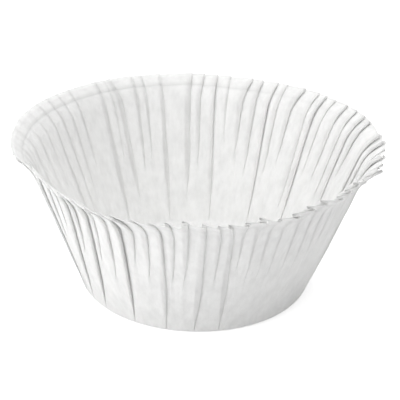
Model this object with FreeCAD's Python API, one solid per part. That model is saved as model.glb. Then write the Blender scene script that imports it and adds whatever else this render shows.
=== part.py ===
import FreeCAD, Part
import math
import os

# A cupcake liner: one round sheet of greaseproof paper, pressed into a cup whose wall takes up the
# spare paper in knife pleats, all laid the same way, under a lip that flares out above a crease.
# The origin is the middle of the base, on the surface it stands on. Angles run from +X towards +Y.

doc = FreeCAD.newDocument("cupcake_liner")
sheet = doc.addObject("Spreadsheet::Sheet", "sizes")

sizes = [
    ("base_radius", 25.0),        # where the wall's line meets the base
    ("corner_radius", 1.2),       # round between base and wall
    ("crease_radius", 35.7),      # where the wall ends and the lip begins
    ("crease_height", 28.3),
    ("lip_width", 4.3),           # how far the lip reaches out past the crease
    ("lip_rise", 4.3),
    ("lip_bow", -0.45),           # how far the lip's middle hangs out of a straight line
    ("paper_thickness", 0.08),
    ("fold_gap_foot", 0.06),      # air between the layers of a pleat, at three heights
    ("fold_gap_crease", 0.14),
    ("fold_gap_rim", 0.26),
]
for number, (alias, value) in enumerate(sizes, start=1):
    cell = "A%d" % number
    sheet.set(cell, str(value))
    sheet.setAlias(cell, alias)
doc.recompute()

# The sheet's rows: over the corner from the base's edge to the foot of the wall, as shares of the
# corner's turn, then up the wall to the crease, as shares of its slant, then over the lip.
corner_shares = [0.0, 0.5, 1.0]
wall_shares = [0.12, 0.34, 0.46, 0.58, 0.71, 0.85, 1.0]
lip_shares = [0.5, 1.0]

# How far down a pleat runs: the row at which it has died away. It swells in the row above that,
# and from there on it is folded flat.
full = 0
deep = 4
middle = 5
half = 6
short = 7

# Each pleat, chosen by eye: the angle of its middle at the rim, and how far down it runs.
pleats = [
    (3, full), (8, deep), (19, short), (23, full), (28, middle), (33, half), (38.5, half),
    (42.5, full), (46, deep), (52, half), (58.5, middle), (62, full), (67.5, middle), (71.5, half),
    (79, half), (84, full), (88.5, middle), (93, deep), (104.2, full), (110.4, half),
    (114.2, middle), (122, deep), (123.9, half), (127.2, full), (138, half), (143, middle),
    (148, deep), (153.5, full), (160, half), (166.5, middle), (173.5, full), (178, half),
    (182.5, middle), (187, full), (192, half), (196.5, short), (201.8, full), (206.8, half),
    (210.4, short), (214.4, full), (218.7, half), (224.5, full), (230.9, half), (237.1, middle),
    (241.7, full), (245.8, short), (251.6, half), (257.4, full), (260.7, half), (265.8, half),
    (271.2, full), (275.3, half), (279.3, full), (284.2, short), (288.9, middle), (293.8, half),
    (298.8, full), (305.1, deep), (310.8, half), (316.6, full), (321.9, half), (327.8, full),
    (331.8, middle), (336.3, half), (341.2, deep), (346.3, short), (351.8, full), (357.5, half),
]

# The pleats lean a little: how far round the crease end of a pleat lies from its rim end, and its
# foot from its crease end, in degrees.
lip_turn = [
    (28, 0), (38, 0.5), (46, 0.7), (52, 1.9), (57, 0.6), (62, 0.7), (67.5, 0.8), (71.5, 2.1),
    (78, 0.2), (84, 0.4), (88.5, 1.6), (93, 1.4), (104, 0), (114, -0.3), (122, -1.7), (123.9, -0.6),
    (127, 0.2), (132, 0), (166, -0.5), (176, 0.5), (200, 1), (206.8, 2), (214, 4), (219, 3.8),
    (224.5, 4.3), (231, 4), (237, 2.7), (241.7, 2.9), (245.8, 3.6), (251.6, 2.2), (257.4, 1.4),
    (260.7, 1.8), (265.8, 1.1), (271.2, 1.1), (275.3, 2), (279.3, 2), (284, 0.5), (290, 0),
]
foot_turn = [
    (3, 3), (20, -1), (28, -1.8), (36, -1), (60, -1), (84, -1.6), (93, 0.5), (104, 0), (114, 1.5),
    (122, -2.5), (124.5, 0), (127, 0), (140, 0), (153, -1.5), (190, -3), (202, 0), (214, -9),
    (224.5, -6.5), (241.7, -4), (257, -1.6), (271, -2.2), (279.3, 0.6), (310, 0), (340, 2),
]

# A used shape is not quite round: how far the crease and the rim stand out at each angle, and how
# far the rim stands up, in mm.
crease_push = [
    (0, 0.2), (25, 0.7), (45, 0.3), (75, -0.9), (95, 0), (127, 0.9), (150, 0.7), (175, 0),
    (198, -0.5), (212, -1.2), (225, -1.8), (245, 0), (270, 0.4), (285, 0.4), (305, -0.6),
    (330, -0.8), (350, 0),
]
rim_push = [
    (2, 0.3), (10, 0.2), (25, 0.7), (45, 0.3), (75, -0.9), (95, 0), (127, 0.9), (150, 1.2),
    (163, 1), (175, 0.2), (195, -0.7), (204, -3), (213, -2.4), (225, -1.9), (245, 0), (270, 0.2),
    (283, 0.2), (288, -0.3), (298, -0.1), (304, -1.2), (311, -1.7), (317, -1.1), (322, -1.7),
    (328, -2), (333, -1.4), (341, -0.1), (352, -0.5),
]
rim_lift = [
    (5, 0), (240, 0), (280, 0.1), (288, 0.4), (298, 0.5), (320, 0.4), (335, 0.2), (345, 0),
]


def blend(pairs, angle):
    # The value at an angle, eased from one pair to the next round the circle.
    angle = angle % 360.0
    for place, (start, low) in enumerate(pairs):
        end, high = pairs[(place + 1) % len(pairs)]
        end += 360.0 if end <= start else 0.0
        if start <= angle < end:
            part = (angle - start) / (end - start)
            return low + (high - low) * (1.0 - math.cos(math.pi * part)) / 2.0
    return pairs[0][1]


def between(low, high, part):
    return low + (high - low) * part


def lip_point(size, part):
    # A point on the lip's line, from the crease to the rim: radius and height.
    length = math.hypot(size.lip_width, size.lip_rise)
    bow = size.lip_bow * math.sin(math.pi * part)
    radius = size.crease_radius + size.lip_width * part + bow * size.lip_rise / length
    height = size.crease_height + size.lip_rise * part - bow * size.lip_width / length
    return radius, height


def outward(before, after):
    # The way the outer face looks (radial, up) where two slopes meet. Both faces keep their distance
    # there, so it is longer than one.
    halfway = (before + after) / 2.0
    reach = 1.0 / math.cos((before - after) / 2.0)
    return math.sin(halfway) * reach, -math.cos(halfway) * reach


def profile(size):
    # The rows of the sheet from the base's edge to the rim, each with its radius and height at mid
    # thickness, the way its outer face looks, its length along the sheet from the middle of the
    # base, its gap between layers and its shares of the way up the wall and over the lip.
    rise = size.crease_height - size.paper_thickness / 2.0
    slope = math.atan2(rise, size.crease_radius - size.base_radius)
    flat = size.base_radius - size.corner_radius * math.tan(slope / 2.0)
    floor = size.paper_thickness / 2.0
    rows = []
    for corner_share in corner_shares:
        turn = slope * corner_share
        rows.append({
            "radius": flat + size.corner_radius * math.sin(turn),
            "height": floor + size.corner_radius * (1.0 - math.cos(turn)),
            "out": (math.sin(turn), -math.cos(turn)),
            "length": flat + size.corner_radius * turn,
            "gap": size.fold_gap_foot,
            "wall": 0.0,
            "lip": 0.0,
        })
    foot = rows[-1]
    wall = math.hypot(size.crease_radius - foot["radius"], size.crease_height - foot["height"])
    for share in wall_shares:
        rows.append({
            "radius": between(foot["radius"], size.crease_radius, share),
            "height": between(foot["height"], size.crease_height, share),
            "out": outward(slope, slope),
            "length": foot["length"] + wall * share,
            "gap": between(size.fold_gap_foot, size.fold_gap_crease, share),
            "wall": share,
            "lip": 0.0,
        })
    before = slope
    for share in lip_shares:
        radius, height = lip_point(size, share)
        last = rows[-1]
        after = math.atan2(height - last["height"], radius - last["radius"])
        last["out"] = outward(before, after)
        rows.append({
            "radius": radius,
            "height": height,
            "out": outward(after, after),
            "length": last["length"] + math.hypot(radius - last["radius"], height - last["height"]),
            "gap": between(size.fold_gap_crease, size.fold_gap_rim, share),
            "wall": 1.0,
            "lip": share,
        })
        before = after
    return rows


def fold_widths(rows, number):
    # The sheet is longer round than the cup at this row. The spare length goes into the pleats
    # that are folded here: each takes two layers of its width, and a wide panel feeds a wide pleat.
    row = rows[number]
    crease = rows[-1 - len(lip_shares)]
    spare = 2.0 * math.pi * (row["length"] - row["radius"])
    weights = []
    for place, (angle, end) in enumerate(pleats):
        before = (angle - pleats[place - 1][0]) % 360.0
        after = (pleats[(place + 1) % len(pleats)][0] - angle) % 360.0
        start = rows[end + 1]["length"]
        folded = (row["length"] - start) / (crease["length"] - start)
        weights.append(max(0.0, min(1.0, folded)) * (before + after) / 2.0)
    total = sum(weights)
    return [spare / 2.0 * weight / total if total > 0.0 else 0.0 for weight in weights]


def place_point(row, home, angle, level):
    # A point of the sheet near the pleat at home: an angle round the cup, and a level out from the
    # middle surface. The whole pleat leans and stands out of round in one piece.
    push = between(blend(crease_push, home) * row["wall"], blend(rim_push, home), row["lip"])
    lift = blend(rim_lift, home) * row["lip"]
    turn = blend(lip_turn, home) * (1.0 - row["lip"])
    turn += blend(foot_turn, home) * (1.0 - row["wall"]) ** 1.5
    radius = row["radius"] + push + level * row["out"][0]
    height = row["height"] + lift + level * row["out"][1]
    turn = math.radians(angle + turn)
    return FreeCAD.Vector(radius * math.cos(turn), radius * math.sin(turn), height)


def skin_rows(size, rows, side):
    # One face of the sheet, outer for side 1 and inner for side -1: for each row the four corners
    # of every pleat, as numbers of points. Corners that coincide share a point.
    points = []
    table = []
    half_sheet = size.paper_thickness / 2.0
    for number, row in enumerate(rows):
        widths = fold_widths(rows, number)
        corners = []
        for (angle, end), width in zip(pleats, widths):
            if number <= end:
                points.append(place_point(row, angle, angle, side * half_sheet))
                corners += [len(points) - 1] * 4
                continue
            step = size.paper_thickness + row["gap"]
            reach = math.degrees(width / 2.0 / row["radius"])
            sheet_turn = math.degrees(side * half_sheet / row["radius"])
            # The panel ends on the outside, folds back under itself and folds again, and the next
            # panel starts on the inside.
            ahead = angle + reach + sheet_turn
            behind = angle - reach + sheet_turn
            first = len(points)
            points.append(place_point(row, angle, ahead, step + side * half_sheet))
            points.append(place_point(row, angle, ahead, -side * half_sheet))
            if width > 0.0:
                points.append(place_point(row, angle, behind, -side * half_sheet))
            points.append(place_point(row, angle, behind, -step + side * half_sheet))
            last = len(points) - 1
            corners += [first, first + 1, last - 1, last]
        table.append(corners)
    return points, table


def quad(faces, corner_a, corner_b, corner_c, corner_d):
    # Two flat triangles, less those that have closed up to a line.
    for triangle in ((corner_a, corner_b, corner_c), (corner_a, corner_c, corner_d)):
        if len(set(triangle)) == 3:
            faces.append(triangle)


def facets(size):
    # The flat triangles of both faces of the sheet above its flat base, and of its cut edge.
    rows = profile(size)
    outer_points, outer = skin_rows(size, rows, 1)
    inner_points, inner = skin_rows(size, rows, -1)
    shift = len(outer_points)
    inner = [[number + shift for number in corners] for corners in inner]
    faces = []
    for low in range(len(rows) - 1):
        high = low + 1
        for corner in range(len(outer[0])):
            after = (corner + 1) % len(outer[0])
            quad(faces, outer[low][corner], outer[low][after], outer[high][after], outer[high][corner])
            quad(faces, inner[high][corner], inner[high][after], inner[low][after], inner[low][corner])
    for corner in range(len(outer[-1])):
        after = (corner + 1) % len(outer[-1])
        quad(faces, outer[-1][corner], outer[-1][after], inner[-1][after], inner[-1][corner])
    return outer_points + inner_points, faces


def base_face(edges, height, up):
    # One flat face inside the ring of edges at a height, looking up or down.
    ring = [edge for edge in edges if abs(edge.CenterOfMass.z - height) < 1e-6]
    face = Part.Face(Part.Wire(Part.__sortEdges__(ring)))
    if face.normalAt(0.0, 0.0).z * up < 0.0:
        face.reverse()
    return face


def folded_sheet(size):
    folded = Part.Shape()
    folded.makeShapeFromMesh(facets(size), 1e-6, False)
    under = base_face(folded.Edges, 0.0, -1.0)
    top = base_face(folded.Edges, size.paper_thickness, 1.0)
    return Part.makeSolid(Part.makeShell(folded.Faces + [under, top]))


liner = doc.addObject("Part::Feature", "pleated_liner")
liner.Label = "pleated_liner"
liner.Shape = folded_sheet(sheet)
liner.Placement = FreeCAD.Placement()
doc.recompute()

for item in doc.Objects:
    if "Invalid" in item.State or "Error" in item.State:
        raise RuntimeError("%s has failed" % item.Label)
os.makedirs("parts", exist_ok=True)
for item in [liner]:
    if item.Shape.isNull() or not item.Shape.isValid():
        raise RuntimeError("%s has no valid shape" % item.Label)
    item.Shape.exportStep("parts/%s.step" % item.Label)
    print(item.Label, "faces", len(item.Shape.Faces), "volume %.2f mm3" % item.Shape.Volume)
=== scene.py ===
import math
import bpy
from mathutils import Matrix, Vector


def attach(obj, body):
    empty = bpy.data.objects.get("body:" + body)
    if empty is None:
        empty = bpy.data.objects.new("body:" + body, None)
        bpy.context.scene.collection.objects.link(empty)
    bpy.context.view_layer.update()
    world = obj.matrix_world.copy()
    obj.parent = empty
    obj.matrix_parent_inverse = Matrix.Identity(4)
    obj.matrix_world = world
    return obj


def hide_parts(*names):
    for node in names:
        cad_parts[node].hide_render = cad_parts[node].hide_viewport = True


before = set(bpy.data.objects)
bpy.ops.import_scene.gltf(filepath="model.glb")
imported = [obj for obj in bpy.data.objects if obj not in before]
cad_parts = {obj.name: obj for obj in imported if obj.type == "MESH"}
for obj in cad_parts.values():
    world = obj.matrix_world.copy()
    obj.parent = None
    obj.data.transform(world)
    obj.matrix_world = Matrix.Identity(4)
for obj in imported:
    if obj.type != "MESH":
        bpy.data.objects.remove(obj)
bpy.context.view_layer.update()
print("frame loaded:", sorted(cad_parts))

mm = 0.001


def linearColour(hexCode):
    # sRGB hex to the linear colour that the shaders want
    channels = []
    for place in (1, 3, 5):
        value = int(hexCode[place:place + 2], 16) / 255.0
        channels.append(value / 12.92 if value <= 0.04045 else ((value + 0.055) / 1.055) ** 2.4)
    return (*channels, 1.0)


def addNode(tree, kind, links=None, **settings):
    # a node with its settings, and its inputs linked or filled in by name or number
    node = tree.nodes.new(kind)
    for name, value in settings.items():
        setattr(node, name, value)
    for name, value in (links or {}).items():
        socket = node.inputs[name]
        if isinstance(value, bpy.types.NodeSocket):
            tree.links.new(value, socket)
        else:
            socket.default_value = value
    return node


cup = {
    "baseRadius": 25.0,         # mm, where the wall's line meets the base
    "cornerRadius": 1.2,        # where the base turns up into the wall
    "creaseRadius": 35.7,       # where the wall turns into the lip
    "creaseHeight": 28.3,
    "lipWidth": 4.3,            # how far the lip reaches out past the crease
    "lipRise": 4.3,             # and up above it
    "lipBow": -0.45,            # how far the lip's middle hangs out of a straight line
    "paper": 0.08,              # thickness
    "gapFoot": 0.13,            # air between the layers of an ordinary pleat
    "gapCrease": 0.28,          # the same where the lip begins
    "gapRim": 0.33,
    "pressedLine": 3.0,         # how far up the lip the press has left its line
    "lineWidth": 0.3,
    "looseWidth": 0.7,          # how far round a fold's points lie spread where it is not yet open
    "creasePress": 0.16,        # how far that line stands out of the sheet
    "waveSize": 4.0,            # soft waves of the panels, across and up the wall
    "waveLength": 14.0,
    "waveHeight": 0.5,
    "seed": 4,                  # another number gives other waves
}

# How far down a pleat runs: the share of the wall's slant at which it has died away. The corner
# counts as a little more slant below the wall.
cornerDepth = 0.05
full = -cornerDepth
deep = 0.17
middle = 0.40
half = 0.52
short = 0.64

# The shares of the slant over which a pleat opens above its end, and over which its layers come to
# stand apart, and the height of the faint ridge below its end, next to the pleat's own.
openLength = 0.16
swellStart = 0.04
swellLength = 0.4
traceBelow = 0.14
lipSettle = 0.6         # the share of the lip over which its layers come to stand as at the rim
widestShare = 11.0      # degrees, the most of the round that one pleat takes up paper for
leanCurve = 1.5         # 1 for pleats that lean as straight lines, more for ones that bend at the foot

# Each pleat: the angle of its middle at the rim, in degrees from +X towards +Y, its reach, and how
# far its layers stand apart on the wall and at the rim, next to an ordinary one.
pleats = [
    (3, full, 1.5, 2.2), (8, deep, 1.9, 2.9), (19, short, 1.6, 1.6), (23, full, 1.9, 1.8),
    (28, middle, 1.0, 1.2), (33, half, 1.4, 1.6), (38.5, half, 0.4, 0.4), (42.5, full, 2.1, 1.5),
    (46, deep, 0.7, 1.0), (52, half, 1.3, 1.8), (58.5, middle, 0.6, 0.15), (62, full, 2.3, 1.4),
    (67.5, middle, 1.1, 1.2), (71.5, half, 1.3, 1.6), (79, short, 0.0, 0.0), (84, full, 2.2, 1.2),
    (88.5, middle, 0.8, 1.2), (93, deep, 1.0, 1.0), (104.2, full, 0.3, 0.5), (110.4, half, 0.25, 0.0),
    (114.2, middle, 0.5, 0.6), (122, deep, 0.9, 0.5), (123.9, half, 0.5, 0.4), (127.2, full, 0.6, 0.4),
    (138, half, 0.0, 0.0), (143, middle, 0.1, 0.0), (148, deep, 0.0, 0.0), (153.5, full, 0.1, 0.2),
    (160, half, 0.0, 0.0), (166.5, middle, 0.1, 0.2), (173.5, full, 0.2, 0.2), (178, half, 0.4, 0.3),
    (182.5, middle, 0.6, 0.4), (187, full, 0.9, 0.4), (192, half, 0.8, 0.4), (196.5, short, 0.7, 0.5),
    (201.8, full, 1.6, 0.5), (206.8, half, 0.9, 0.5), (210.4, short, 0.3, 0.3), (214.4, full, 2.2, 0.6),
    (218.7, half, 1.2, 0.6), (224.5, full, 3.0, 0.7), (230.9, half, 1.2, 0.7), (237.1, middle, 1.6, 0.7),
    (241.7, full, 3.0, 0.6), (245.8, short, 1.4, 1.2), (251.6, half, 1.1, 0.5), (257.4, full, 1.9, 0.5),
    (262, half, 0.9, 1.0), (267, half, 1.3, 1.4), (272.2, full, 1.6, 0.9), (276.3, half, 1.0, 1.0),
    (279.3, full, 0.8, 1.1), (284.2, short, 0.25, 1.2), (288.9, half, 0.2, 2.0), (293.8, half, 0.1, 0.6),
    (298.8, half, 0.1, 1.8), (305.1, half, 0.1, 2.0), (310.8, half, 0.1, 1.8), (316.6, half, 0.1, 1.7),
    (321.9, half, 0.1, 1.8), (327.8, half, 0.12, 1.9), (331.8, half, 0.1, 1.4), (336.3, half, 0.1, 0.6),
    (341.2, full, 1.6, 2.2), (346.3, half, 0.3, 0.3), (351.8, full, 1.8, 2.6), (357.5, half, 0.3, 0.3),
]

# How far round the crease end of a pleat lies from its rim end, and its foot from its crease end,
# in degrees.
lipTurn = [
    (28, 0), (38, 0.5), (46, 0.7), (52, 1.9), (57, 0.6), (62, 0.7), (67.5, 0.8), (71.5, 2.1), (78, 0.2),
    (84, 0.4), (88.5, 1.6), (93, 1.4), (104, 0), (114, -0.3), (122, -1.7), (123.9, -0.6), (127, 0.2),
    (132, 0), (166, -0.5), (176, 0.5), (200, 1), (206.8, 3), (214, 6.3), (219, 5), (224.5, 4.8),
    (231, 2), (237, 2), (241.7, 3.3), (245.8, 3.4), (251.6, 2.2), (257.4, 1.4), (262, 0.6),
    (267, 0), (272.2, 0.2), (276.3, 1), (279.3, 2), (284, 0.5), (290, 0),
]
lean = [
    (3, 3), (20, -1), (28, -1.8), (36, -1), (60, -1), (84, -1.6), (93, 0.5), (104, 0), (114, 0.8),
    (122, -1.6), (124.5, 0), (127, 0), (140, 0), (153, -1.5), (190, -3), (202, 0), (214, -9), (224.5, -6.5),
    (241.7, -4), (257, -1.6), (271, -2.2), (279.3, 0.6), (310, 0), (340, 2),
]

# A used cup is not quite round: how far the crease and the rim stand out, and how far the rim stands
# up, in mm.
creasePush = [
    (0, 0.2), (25, 0.7), (45, 0.3), (75, -0.9), (95, 0), (127, 0.9), (150, 0.7), (175, 0),
    (198, -0.5), (212, -1.2), (225, -1.8), (245, 0.0), (270, 0.4), (285, 0.4), (305, -0.6), (330, -0.8),
    (350, 0),
]
rimPush = [
    (2, 0.3), (10, 0.2), (25, 0.7), (45, 0.3), (75, -0.9), (95, 0), (127, 0.9), (150, 1.2), (163, 1.0),
    (175, 0.2), (195, -0.7), (204, -3.0), (213, -2.4), (225, -1.9), (245, 0.0), (270, 0.2), (283, 0.2),
    (288, -0.3), (298, -0.1), (304, -1.2), (311, -1.7), (317, -1.1), (322, -1.7), (328, -2.0),
    (333, -1.4), (341, -0.1), (352, -0.5),
]
rimLift = [
    (5, 0), (240, 0), (260.5, 0), (262, 0.35), (265.4, 0), (267, 0.95), (270.8, 0.1), (272.2, 0.4),
    (275, 0.1), (287, 0.3), (288.9, 0.6), (293, 0.3), (298, 0.5), (320, 0.4), (335, 0.2), (345, 0),
]

# How clearly the press has left its line on the lip, from 0 to 1, round the cup; it sets the line's ridge
# and also how dark its painted shade is.
linePress = [
    (0, 0.25), (50, 0.3), (85, 0.8), (110, 1.0), (170, 1.0), (200, 0.6), (250, 0.3), (330, 0.25),
]

# How softly the wall turns into the lip, in mm along the sheet, round the cup.
softness = [
    (0, 1.0), (40, 0.8), (90, 0.7), (140, 0.7), (180, 0.9), (225, 1.4), (260, 1.0), (300, 1.0),
]

# Rows of the sheet: shares of the base's radius, of the corner's turn, of the wall's slant and of the lip.
flatShares = [0.35, 0.7, 0.9, 1.0]
cornerShares = [0.25, 0.5, 0.75, 1.0]
wallShares = [0.06, 0.14, 0.22, 0.3, 0.38, 0.46, 0.54, 0.62, 0.7, 0.77, 0.84, 0.89, 0.93, 0.96, 0.98, 1.0]
lipShares = [0.04, 0.1, 0.18, 0.28, 0.38, 0.45, 0.493, 0.535, 0.65, 0.82, 1.0]

# How finely the sheet is cut round a fold's half turn, and where it has points across the panel
# between two folds.
bendSteps = 4
panelSteps = [0.07, 0.17, 0.32, 0.5, 0.68, 0.83, 0.93]
panelCurve = 2.0        # 1 for a straight panel, more for one that bends near its folds only
lipCurve = 1.0          # the same at the rim


def blendRound(pairs, angle):
    # the value at an angle, blended from the two nearest entries of a list that goes round the cup
    angle = angle % 360.0
    for place, (start, low) in enumerate(pairs):
        end, high = pairs[(place + 1) % len(pairs)]
        end += 360.0 if end <= start else 0.0
        if start <= angle < end:
            part = (angle - start) / (end - start)
            return low + (high - low) * (1.0 - math.cos(math.pi * part)) / 2.0
    return pairs[0][1]


def ease(value):
    value = max(0.0, min(1.0, value))
    return value * value * (3.0 - 2.0 * value)


def foldStations():
    # Across a fold: how far along (in half widths), how far round its bend (in half pitches) and
    # how far out of the sheet (in pitches). The outside layer ends, turns back, and turns again
    # into the inside layer.
    stations = []
    for step in range(bendSteps + 1):
        turn = math.pi * step / bendSteps
        stations.append((1.0, math.sin(turn), (1.0 + math.cos(turn)) / 2.0))
    for step in range(bendSteps + 1):
        turn = math.pi * step / bendSteps
        stations.append((-1.0, -math.sin(turn), (math.cos(turn) - 1.0) / 2.0))
    return stations


def sheetRows():
    # every row's four shares, and its radius and length along the sheet, in mm
    rise = cup["creaseHeight"] - cup["paper"] / 2.0
    slope = math.atan2(rise, cup["creaseRadius"] - cup["baseRadius"])
    flat = cup["baseRadius"] - cup["cornerRadius"] * math.tan(slope / 2.0)
    footRadius = flat + cup["cornerRadius"] * math.sin(slope)
    footHeight = cup["cornerRadius"] * (1.0 - math.cos(slope)) + cup["paper"] / 2.0
    wall = math.hypot(cup["creaseRadius"] - footRadius, cup["creaseHeight"] - footHeight)
    lip = math.hypot(cup["lipWidth"], cup["lipRise"])
    rows = []
    for share in flatShares:
        rows.append((share, 0.0, 0.0, 0.0, flat * share, flat * share))
    for share in cornerShares:
        rows.append((1.0, share, 0.0, 0.0, flat + cup["cornerRadius"] * math.sin(slope * share),
                     flat + cup["cornerRadius"] * slope * share))
    foot = flat + cup["cornerRadius"] * slope
    for share in wallShares:
        rows.append((1.0, 1.0, share, 0.0, footRadius + (cup["creaseRadius"] - footRadius) * share,
                     foot + wall * share))
    for share in lipShares:
        rows.append((1.0, 1.0, 1.0, share, cup["creaseRadius"] + cup["lipWidth"] * share,
                     foot + wall + lip * share))
    return rows, foot, wall, lip


def foldWidths(row):
    # the paper that the cup does not need at this row, shared out over the pleats that are open
    flatShare, cornerShare, wallShare, lipShare, radius, length = row
    spare = 2.0 * math.pi * (length - radius)
    place = wallShare if wallShare > 0.0 else (cornerShare - 1.0) * cornerDepth
    weights = []
    opened = []
    standing = []
    for number, (angle, end, onWall, onRim) in enumerate(pleats):
        before = (angle - pleats[number - 1][0]) % 360.0
        after = (pleats[(number + 1) % len(pleats)][0] - angle) % 360.0
        folded = max(0.0, min(1.0, (place - end) / (1.0 - end)))
        # faint pleats and the boldest ones on the wall take up less paper, bold flaps at the rim more
        stiff = onWall + (max(onWall, onRim) - onWall) * lipShare
        strength = (0.4 + 0.6 * min(1.0, stiff) - 0.5 * ease(onWall - 1.4) * (1.0 - lipShare)
                    + min(0.8, 0.9 * max(0.0, onRim - 1.2)) * lipShare)
        weights.append(folded * min(before + after, widestShare) * strength)
        opened.append(ease((place - end) / openLength))
        # a pleat leaves a faint ridge below its end, and swells to its full height above it
        trace = traceBelow * ease(place / max(end, 0.05)) if end > 0.0 else 0.0
        swell = trace + (1.0 - trace) * ease((place - end - swellStart) / swellLength)
        standing.append(swell * (onWall + (onRim - onWall) * ease(lipShare / lipSettle)))
    total = sum(weights)
    widths = [spare / 2.0 * weight / total if total > 0.0 else 0.0 for weight in weights]
    return widths, opened, standing


def flatSheet():
    # the round sheet before it is folded, with what the folding needs to know at each point
    rows, foot, wall, lip = sheetRows()
    fold = foldStations()
    points = []
    faces = []
    facts = {name: [] for name in ("flatShare", "cornerShare", "wallShare", "lipShare", "homeTurn",
                                   "sideUnit", "roundUnit", "levelUnit", "foldWidth", "foldOpen",
                                   "looseSide", "leanTurn", "lipTurn", "creasePush", "rimPush",
                                   "rimLift", "standing", "bendShare", "creasePress")}
    for row in rows:
        widths, opened, standing = foldWidths(row)
        pastFoot = row[2] > 0.0
        pastCrease = row[5] - foot - wall
        curve = panelCurve + (lipCurve - panelCurve) * row[3]
        for number, pleat in enumerate(pleats):
            angle = pleat[0]
            after = (number + 1) % len(pleats)
            gap = (pleats[after][0] - angle) % 360.0
            stations = []
            for place, (side, bend, level) in enumerate(fold):
                loose = place / (len(fold) - 1) - 0.5
                stations.append((angle, side, bend, level, widths[number], opened[number], loose,
                                 standing[number]))
            for share in panelSteps:
                across = 2.0 * share - 1.0
                level = math.copysign(abs(across) ** curve, across)
                stations.append((angle + gap * share, across, 0.0, level,
                                 widths[number] + (widths[after] - widths[number]) * share,
                                 opened[number] + (opened[after] - opened[number]) * share,
                                 0.5 - share,
                                 standing[number] + (standing[after] - standing[number]) * share))
            for home, side, bend, level, width, isOpen, loose, stands in stations:
                # the crease is rounded off: near it the row is partly on the wall, partly on the lip
                soft = blendRound(softness, home)
                reach = math.hypot(pastCrease, soft)
                wallShare = 1.0 + (pastCrease - reach) / 2.0 / wall if pastFoot else 0.0
                lipShare = (pastCrease + reach) / 2.0 / lip if pastFoot else 0.0
                bendShare = (1.0 + pastCrease / reach) / 2.0 if pastFoot else 0.0
                flatTurn = math.radians(home + loose)
                points.append((row[5] * mm * math.cos(flatTurn), row[5] * mm * math.sin(flatTurn), 0.0))
                values = (row[0], row[1], wallShare, lipShare, math.radians(home), side, bend, level,
                          width * mm, isOpen, loose, math.radians(blendRound(lean, home)),
                          math.radians(blendRound(lipTurn, home)), blendRound(creasePush, home) * mm,
                          blendRound(rimPush, home) * mm, blendRound(rimLift, home) * mm, stands,
                          bendShare, blendRound(linePress, home) * math.exp(
                              -((pastCrease - cup["pressedLine"]) / cup["lineWidth"]) ** 2))
                for name, value in zip(facts, values):
                    facts[name].append(value)
    columns = len(points) // len(rows)
    for low in range(len(rows) - 1):
        for column in range(columns):
            after = (column + 1) % columns
            faces.append((low * columns + column, low * columns + after,
                          (low + 1) * columns + after, (low + 1) * columns + column))
    centre = len(points)
    points.append((0.0, 0.0, 0.0))
    for name in facts:
        facts[name].append(0.0)
    for column in range(columns):
        faces.append((centre, (column + 1) % columns, column))
    mesh = bpy.data.meshes.new("flatSheet")
    mesh.from_pydata(points, [], faces)
    for name, values in facts.items():
        mesh.attributes.new(name, "FLOAT", "POINT").data.foreach_set("value", values)
    mesh.polygons.foreach_set("use_smooth", [True] * len(faces))
    mesh.update()
    print("flat sheet:", len(points), "points in", len(rows), "rows of", columns)
    return mesh, list(facts)


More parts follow.
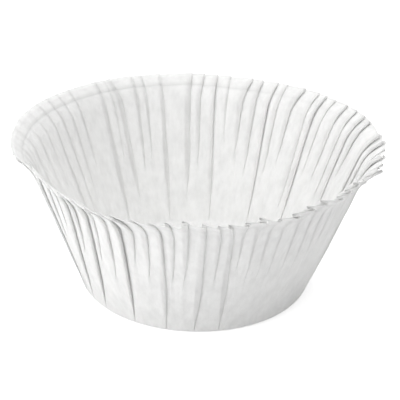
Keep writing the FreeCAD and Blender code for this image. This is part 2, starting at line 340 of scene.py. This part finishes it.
def foldingTree(material):
    # Geometry Nodes that press the flat sheet into the pleated cup
    tree = bpy.data.node_groups.new("pressPleatedCup", "GeometryNodeTree")
    face = tree.interface
    face.new_socket("Geometry", in_out="INPUT", socket_type="NodeSocketGeometry")
    for name in ("Base Radius", "Corner Radius", "Crease Radius", "Crease Height", "Lip Width",
                 "Lip Rise", "Lip Bow", "Paper", "Gap Foot", "Gap Crease", "Gap Rim", "Crease Press",
                 "Loose Width", "Wave Size", "Wave Length", "Wave Height"):
        face.new_socket(name, in_out="INPUT", socket_type="NodeSocketFloat")
    face.new_socket("Seed", in_out="INPUT", socket_type="NodeSocketInt")
    face.new_socket("Geometry", in_out="OUTPUT", socket_type="NodeSocketGeometry")
    given = addNode(tree, "NodeGroupInput").outputs
    result = addNode(tree, "NodeGroupOutput")

    def fact(name):
        node = addNode(tree, "GeometryNodeInputNamedAttribute", data_type="FLOAT")
        node.inputs["Name"].default_value = name
        return node.outputs["Attribute"]

    def work(operation, *values):
        node = addNode(tree, "ShaderNodeMath", dict(enumerate(values)), operation=operation)
        return node.outputs[0]

    def mix(low, high, part):
        # low + (high - low) * part
        return work("MULTIPLY_ADD", work("SUBTRACT", high, low), part, low)

    halfPaper = work("MULTIPLY", given["Paper"], 0.5)
    rise = work("SUBTRACT", given["Crease Height"], halfPaper)
    run = work("SUBTRACT", given["Crease Radius"], given["Base Radius"])
    slope = work("ARCTAN2", rise, run)
    flat = work("SUBTRACT", given["Base Radius"],
                work("MULTIPLY", given["Corner Radius"], work("TANGENT", work("MULTIPLY", slope, 0.5))))

    # the profile: flat base, round corner, straight wall, lip
    cornerTurn = work("MULTIPLY", slope, fact("cornerShare"))
    footRadius = work("MULTIPLY_ADD", given["Corner Radius"], work("SINE", slope), flat)
    footHeight = work("MULTIPLY_ADD", given["Corner Radius"],
                      work("SUBTRACT", 1.0, work("COSINE", slope)), halfPaper)
    onBase = work("MULTIPLY_ADD", flat, fact("flatShare"),
                  work("MULTIPLY", given["Corner Radius"], work("SINE", cornerTurn)))
    cornerHeight = work("MULTIPLY_ADD", given["Corner Radius"],
                        work("SUBTRACT", 1.0, work("COSINE", cornerTurn)), halfPaper)
    wallRadius = work("MULTIPLY_ADD", work("SUBTRACT", given["Crease Radius"], footRadius),
                      fact("wallShare"), onBase)
    wallHeight = work("MULTIPLY_ADD", work("SUBTRACT", given["Crease Height"], footHeight),
                      fact("wallShare"), cornerHeight)
    lipWidth = work("ADD", given["Lip Width"], work("SUBTRACT", fact("rimPush"), fact("creasePush")))
    lipRise = work("ADD", given["Lip Rise"], fact("rimLift"))
    lipSlope = work("ARCTAN2", lipRise, lipWidth)
    fromMiddle = work("MULTIPLY_ADD", fact("lipShare"), 2.0, -1.0)
    bow = work("MULTIPLY", given["Lip Bow"], work("SUBTRACT", 1.0, work("SQRT", work(
        "MULTIPLY_ADD", fromMiddle, fromMiddle, 0.02))))
    lipRadius = work("MULTIPLY_ADD", lipWidth, fact("lipShare"),
                     work("MULTIPLY_ADD", bow, work("SINE", lipSlope), wallRadius))
    lipHeight = work("MULTIPLY_ADD", lipRise, fact("lipShare"),
                     work("SUBTRACT", wallHeight, work("MULTIPLY", bow, work("COSINE", lipSlope))))

    # the way out of the sheet turns from down to sideways round the corner and back at the lip
    outTurn = mix(cornerTurn, lipSlope, fact("bendShare"))
    outRadial = work("SINE", outTurn)
    outUp = work("MULTIPLY", -1.0, work("COSINE", outTurn))

    # the fold: along the sheet's round, and out of it
    gap = mix(mix(given["Gap Foot"], given["Gap Crease"], fact("wallShare")), given["Gap Rim"],
              fact("lipShare"))
    pitch = work("MULTIPLY_ADD", gap, fact("standing"),
                 work("MULTIPLY", given["Paper"], fact("foldOpen")))
    halfWidth = work("MULTIPLY", fact("foldWidth"), 0.5)
    straight = work("MAXIMUM", 0.0, work("MULTIPLY_ADD", pitch, -0.5, halfWidth))
    folded = work("MULTIPLY_ADD", fact("sideUnit"), straight,
                  work("MULTIPLY", fact("roundUnit"), work("MULTIPLY", pitch, 0.5)))
    loose = work("MULTIPLY", work("MULTIPLY", fact("looseSide"), given["Loose Width"]),
                 work("MULTIPLY", fact("flatShare"), fact("flatShare")))
    aside = mix(loose, folded, fact("foldOpen"))
    level = work("MULTIPLY_ADD", fact("creasePress"), given["Crease Press"],
                 work("MULTIPLY", fact("levelUnit"), pitch))

    wholeRadius = work("MULTIPLY_ADD", fact("creasePush"), fact("wallShare"), lipRadius)
    radius = work("MULTIPLY_ADD", level, outRadial, wholeRadius)
    height = work("MULTIPLY_ADD", level, outUp, lipHeight)
    leaning = work("MULTIPLY_ADD", fact("leanTurn"),
                   work("POWER", work("MAXIMUM", 0.0, work("SUBTRACT", 1.0, fact("wallShare"))),
                        leanCurve),
                   work("MULTIPLY", fact("lipTurn"), work("SUBTRACT", 1.0, fact("lipShare"))))
    turn = work("ADD", work("ADD", fact("homeTurn"), leaning),
                work("DIVIDE", aside, work("MAXIMUM", wholeRadius, 0.001)))
    place = addNode(tree, "ShaderNodeCombineXYZ", {
        "X": work("MULTIPLY", radius, work("COSINE", turn)),
        "Y": work("MULTIPLY", radius, work("SINE", turn)),
        "Z": height})
    pressed = addNode(tree, "GeometryNodeSetPosition",
                      {"Geometry": given["Geometry"], "Position": place.outputs[0]})

    # soft waves of used paper, drawn out up the wall, none on the base
    spot = addNode(tree, "ShaderNodeCombineXYZ", {
        "X": work("MULTIPLY", given["Crease Radius"], work("COSINE", turn)),
        "Y": work("MULTIPLY", given["Crease Radius"], work("SINE", turn)),
        "Z": work("MULTIPLY", height, work("DIVIDE", given["Wave Size"], given["Wave Length"]))})
    noise = addNode(tree, "ShaderNodeTexNoise", {
        "Vector": spot.outputs[0],
        "W": given["Seed"],
        "Scale": work("DIVIDE", 1.0, given["Wave Size"]),
        "Detail": 3.5, "Roughness": 0.55}, noise_dimensions="4D")
    swing = work("MULTIPLY", work("SUBTRACT", noise.outputs[0], 0.5), 2.0)
    push = work("MULTIPLY", swing, work("MULTIPLY", fact("wallShare"), given["Wave Height"]))
    wave = addNode(tree, "ShaderNodeCombineXYZ", {
        "X": work("MULTIPLY", work("MULTIPLY", push, outRadial), work("COSINE", turn)),
        "Y": work("MULTIPLY", work("MULTIPLY", push, outRadial), work("SINE", turn)),
        "Z": work("MULTIPLY", push, outUp)})
    waved = addNode(tree, "GeometryNodeSetPosition",
                    {"Geometry": pressed.outputs[0], "Offset": wave.outputs[0]})
    whole = addNode(tree, "GeometryNodeRealizeInstances", {0: waved.outputs[0]})
    dressed = addNode(tree, "GeometryNodeSetMaterial",
                      {"Geometry": whole.outputs[0], "Material": material})
    tree.links.new(dressed.outputs[0], result.inputs[0])
    return tree


def pressCup(mesh, facts, material):
    # the tree folds the sheet, Solidify gives it the paper's thickness, and the result is one plain mesh
    source = bpy.data.objects.new("flatSheet", mesh)
    bpy.context.collection.objects.link(source)
    mesh.materials.append(material)
    pressing = source.modifiers.new("pressing", "NODES")
    pressing.node_group = foldingTree(material)
    amounts = {
        "Base Radius": cup["baseRadius"] * mm, "Corner Radius": cup["cornerRadius"] * mm,
        "Crease Radius": cup["creaseRadius"] * mm, "Crease Height": cup["creaseHeight"] * mm,
        "Lip Width": cup["lipWidth"] * mm, "Lip Rise": cup["lipRise"] * mm,
        "Lip Bow": cup["lipBow"] * mm, "Paper": cup["paper"] * mm, "Gap Foot": cup["gapFoot"] * mm,
        "Gap Crease": cup["gapCrease"] * mm, "Gap Rim": cup["gapRim"] * mm,
        "Crease Press": cup["creasePress"] * mm, "Loose Width": cup["looseWidth"] * mm,
        "Wave Size": cup["waveSize"] * mm, "Wave Length": cup["waveLength"] * mm,
        "Wave Height": cup["waveHeight"] * mm, "Seed": cup["seed"],
    }
    for item in pressing.node_group.interface.items_tree:
        if item.in_out == "INPUT" and item.name in amounts:
            pressing[item.identifier] = amounts[item.name]
    thickness = source.modifiers.new("paper", "SOLIDIFY")
    thickness.thickness = cup["paper"] * mm
    thickness.offset = 0.0
    thickness.use_even_offset = False
    depsgraph = bpy.context.evaluated_depsgraph_get()
    pressed = bpy.data.meshes.new_from_object(source.evaluated_get(depsgraph), depsgraph=depsgraph)
    pressed.name = "pleatedPaper"
    source.modifiers.clear()
    bpy.data.objects.remove(source)
    # creasePress is kept, since the paper's shader reads it for the crease line's painted shade
    for name in facts:
        if name != "creasePress":
            pressed.attributes.remove(pressed.attributes[name])
    piece = bpy.data.objects.new("pleatedPaper", pressed)
    bpy.context.collection.objects.link(piece)
    return piece


paper = {
    "bright": "#FCFCFB",     # the clouds' two whites
    "dull": "#EFEFEE",
    "pressed": "#E2E2E1",    # painted shade along the line that the press has left on the lip
    "roughness": 0.62,
    "roughSwing": 0.06,      # how much the clouds change it
    "cloudSize": 2.6,        # mm, the cloudy look of pressed fibre
    "cloudLength": 2.0,      # how much longer than wide the clouds are up the wall
    "streakSize": 0.9,       # the fine lines that run up the wall
    "streakLength": 10.0,
    "streakShare": 0.35,     # of the mottling, the clouds being the rest
    "darkest": 0.35,         # the part of the mottling's range that is spread over the two whites
    "lightest": 0.65,
    "fibreSize": 0.5,        # coarser than real fibre, so that it shows
    "fibreHeight": 0.012,    # mm
    "sheerness": 0.28,       # the share of light that goes into the sheet
    "lightReach": 0.9,       # mm, how far it spreads there
}


def mixColours(tree, part, low, high):
    # the two colours, each a colour or a link, mixed by a share
    node = addNode(tree, "ShaderNodeMix", {0: part}, data_type="RGBA")
    for socket, value in zip([socket for socket in node.inputs if socket.type == "RGBA"], (low, high)):
        if isinstance(value, bpy.types.NodeSocket):
            tree.links.new(value, socket)
        else:
            socket.default_value = value
    return next(socket for socket in node.outputs if socket.type == "RGBA")


def greaseproofPaper():
    # Greaseproof paper: bleached pulp beaten fine and calendered, so it is matt white, a little
    # cloudy, with a faint silky gloss.
    material = bpy.data.materials.new("greaseproofPaper")
    material.use_nodes = True
    tree = material.node_tree
    shader = tree.nodes["Principled BSDF"]
    coordinates = addNode(tree, "ShaderNodeTexCoord").outputs["Object"]
    drawn = addNode(tree, "ShaderNodeVectorMath", {
        0: coordinates, 1: (1.0, 1.0, 1.0 / paper["cloudLength"])}, operation="MULTIPLY")
    cloud = addNode(tree, "ShaderNodeTexNoise", {
        "Vector": drawn.outputs[0], "Scale": 1.0 / (paper["cloudSize"] * mm), "Detail": 4.0,
        "Roughness": 0.6})
    stretched = addNode(tree, "ShaderNodeVectorMath", {
        0: coordinates, 1: (1.0, 1.0, 1.0 / paper["streakLength"])}, operation="MULTIPLY")
    streak = addNode(tree, "ShaderNodeTexNoise", {
        "Vector": stretched.outputs[0], "Scale": 1.0 / (paper["streakSize"] * mm), "Detail": 2.0})
    mottling = addNode(tree, "ShaderNodeMath", {
        0: cloud.outputs["Fac"], 1: 1.0 - paper["streakShare"],
        2: addNode(tree, "ShaderNodeMath", {0: streak.outputs["Fac"], 1: paper["streakShare"]},
                   operation="MULTIPLY").outputs[0]}, operation="MULTIPLY_ADD")
    contrast = addNode(tree, "ShaderNodeMapRange", {
        "Value": mottling.outputs[0], "From Min": paper["darkest"],
        "From Max": paper["lightest"]})
    colours = mixColours(tree, contrast.outputs["Result"], linearColour(paper["dull"]),
                         linearColour(paper["bright"]))
    # painted shade: the paper's colour is darkened along the lip's pressed crease line, standing in for the
    # shade of that crease
    creaseShadeMask = addNode(tree, "ShaderNodeAttribute", attribute_name="creasePress").outputs["Fac"]
    withCreaseShade = mixColours(tree, creaseShadeMask, colours, linearColour(paper["pressed"]))
    tree.links.new(withCreaseShade, shader.inputs["Base Color"])
    fibre = addNode(tree, "ShaderNodeTexNoise", {
        "Vector": coordinates, "Scale": 1.0 / (paper["fibreSize"] * mm), "Detail": 3.0})
    gloss = addNode(tree, "ShaderNodeMapRange", {
        "Value": cloud.outputs["Fac"], "To Min": paper["roughness"] - paper["roughSwing"],
        "To Max": paper["roughness"] + paper["roughSwing"]})
    tree.links.new(gloss.outputs["Result"], shader.inputs["Roughness"])
    bump = addNode(tree, "ShaderNodeBump", {
        "Height": fibre.outputs["Fac"], "Strength": 0.5, "Distance": paper["fibreHeight"] * mm})
    tree.links.new(bump.outputs["Normal"], shader.inputs["Normal"])
    shader.inputs["Subsurface Weight"].default_value = paper["sheerness"]
    shader.inputs["Subsurface Radius"].default_value = (1.0, 1.0, 1.0)
    shader.inputs["Subsurface Scale"].default_value = paper["lightReach"] * mm
    shader.inputs["IOR"].default_value = 1.45
    shader.inputs["Specular IOR Level"].default_value = 0.2
    return material


paperFinish = greaseproofPaper()
cupPiece = pressCup(*flatSheet(), paperFinish)
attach(cupPiece, "root")
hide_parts("pleated_liner")
print("pleated cup:", len(cupPiece.data.polygons), "faces")

studio = {
    "elevation": 26.59,        # degrees, the camera above the table
    "roll": 1.31,              # degrees, how far the camera is turned about its own line of sight
    "distance": 300.0,         # mm
    "aimHeight": 18.0,         # mm above the table
    "focal": 4.563,            # pixels for one mm at the aim
    "imageWidth": 400,         # pixels
    "centre": (196.27, 201.99),    # the aim's place in the picture, in pixels
    "floorColour": "#F4F4F4",
    "floorReach": 0.5,         # m
    "floorGlow": 0.6,
    # each lamp's place and size in m, and its power in W
    "lamps": [
        ("windowLeft", (-0.5, -0.5, 0.35), 0.8, 2.45),
        ("lowLeft", (-0.75, -0.25, 0.06), 0.4, 1.0),
        ("overhead", (0.0, 0.0, 0.85), 0.4, 3.0),
        ("behind", (0.0, 0.6, 0.5), 0.4, 1.3),
        ("behindRight", (0.5, 0.5, 0.35), 0.4, 0.4),
    ],
    "ambient": 0.32,           # light that comes from all round
}


def placeCamera():
    # looks at a point on the cup's axis, which lands at the chosen place in the picture
    tilt = math.radians(studio["elevation"])
    roll = math.radians(studio["roll"])
    back = Vector((0.0, -math.cos(tilt), math.sin(tilt)))
    across = Vector((1.0, 0.0, 0.0))
    up = back.cross(across)
    acrossRolled = math.cos(roll) * across + math.sin(roll) * up
    upRolled = -math.sin(roll) * across + math.cos(roll) * up
    place = Vector((0.0, 0.0, studio["aimHeight"])) * mm + back * studio["distance"] * mm
    data = bpy.data.cameras.new("camera")
    data.sensor_width = 36.0
    data.lens = studio["focal"] * studio["distance"] / studio["imageWidth"] * data.sensor_width
    middle = studio["imageWidth"] / 2.0
    data.shift_x = (middle - studio["centre"][0]) / studio["imageWidth"]
    data.shift_y = (studio["centre"][1] - middle) / studio["imageWidth"]
    data.clip_start = 0.01
    camera = bpy.data.objects.new("camera", data)
    camera.matrix_world = Matrix((
        (acrossRolled.x, upRolled.x, back.x, place.x),
        (acrossRolled.y, upRolled.y, back.y, place.y),
        (acrossRolled.z, upRolled.z, back.z, place.z),
        (0.0, 0.0, 0.0, 1.0)))
    bpy.context.collection.objects.link(camera)
    bpy.context.scene.camera = camera


def addLamp(name, place, aim, size, power):
    data = bpy.data.lights.new(name, "AREA")
    data.shape = "DISK"
    data.size = size
    data.energy = power
    lamp = bpy.data.objects.new(name, data)
    lamp.location = place
    lamp.rotation_euler = (Vector(aim) - Vector(place)).to_track_quat("-Z", "Y").to_euler()
    bpy.context.collection.objects.link(lamp)


def backgroundRay(tree):
    # 1 for what the camera sees, also in a gloss or through glass
    path = addNode(tree, "ShaderNodeLightPath").outputs
    direct = addNode(tree, "ShaderNodeMath", {0: path["Is Camera Ray"], 1: path["Is Glossy Ray"]},
                     operation="MAXIMUM")
    return addNode(tree, "ShaderNodeMath", {0: direct.outputs[0], 1: path["Is Transmission Ray"]},
                   operation="MAXIMUM").outputs[0]


def layFloor():
    # A pale matt table top that takes the cup's shadow. A glow that diffuse rays do not see lifts it
    # to white, so that it adds no light to the matt paper.
    mesh = bpy.data.meshes.new("floor")
    reach = studio["floorReach"]
    under = -0.02 * mm
    mesh.from_pydata([(-reach, -reach, under), (reach, -reach, under), (reach, reach, under),
                      (-reach, reach, under)], [], [(0, 1, 2, 3)])
    floor = bpy.data.objects.new("floor", mesh)
    bpy.context.collection.objects.link(floor)
    material = bpy.data.materials.new("paleTable")
    material.use_nodes = True
    tree = material.node_tree
    tree.nodes.clear()
    matt = addNode(tree, "ShaderNodeBsdfDiffuse", {"Color": linearColour(studio["floorColour"])})
    glow = addNode(tree, "ShaderNodeEmission", {"Strength": backgroundRay(tree)})
    glow.inputs["Color"].default_value = (*[studio["floorGlow"]] * 3, 1.0)
    lifted = addNode(tree, "ShaderNodeAddShader", {0: matt.outputs[0], 1: glow.outputs[0]})
    out = addNode(tree, "ShaderNodeOutputMaterial")
    tree.links.new(lifted.outputs[0], out.inputs["Surface"])
    mesh.materials.append(material)


def lightRoom():
    # the room lights the cup softly and is white where the camera sees it
    world = bpy.data.worlds.new("softRoom")
    world.use_nodes = True
    bpy.context.scene.world = world
    tree = world.node_tree
    tree.nodes.clear()
    level = addNode(tree, "ShaderNodeMapRange", {
        "Value": backgroundRay(tree), "To Min": studio["ambient"], "To Max": 1.0})
    sky = addNode(tree, "ShaderNodeBackground", {"Color": (1.0, 1.0, 1.0, 1.0),
                                                 "Strength": level.outputs["Result"]})
    out = addNode(tree, "ShaderNodeOutputWorld")
    tree.links.new(sky.outputs[0], out.inputs["Surface"])
    for name, place, size, power in studio["lamps"]:
        addLamp(name, place, (0.0, 0.0, 0.02), size, power)


placeCamera()
layFloor()
lightRoom()
bpy.context.scene.view_settings.view_transform = "Standard"
print("studio set")
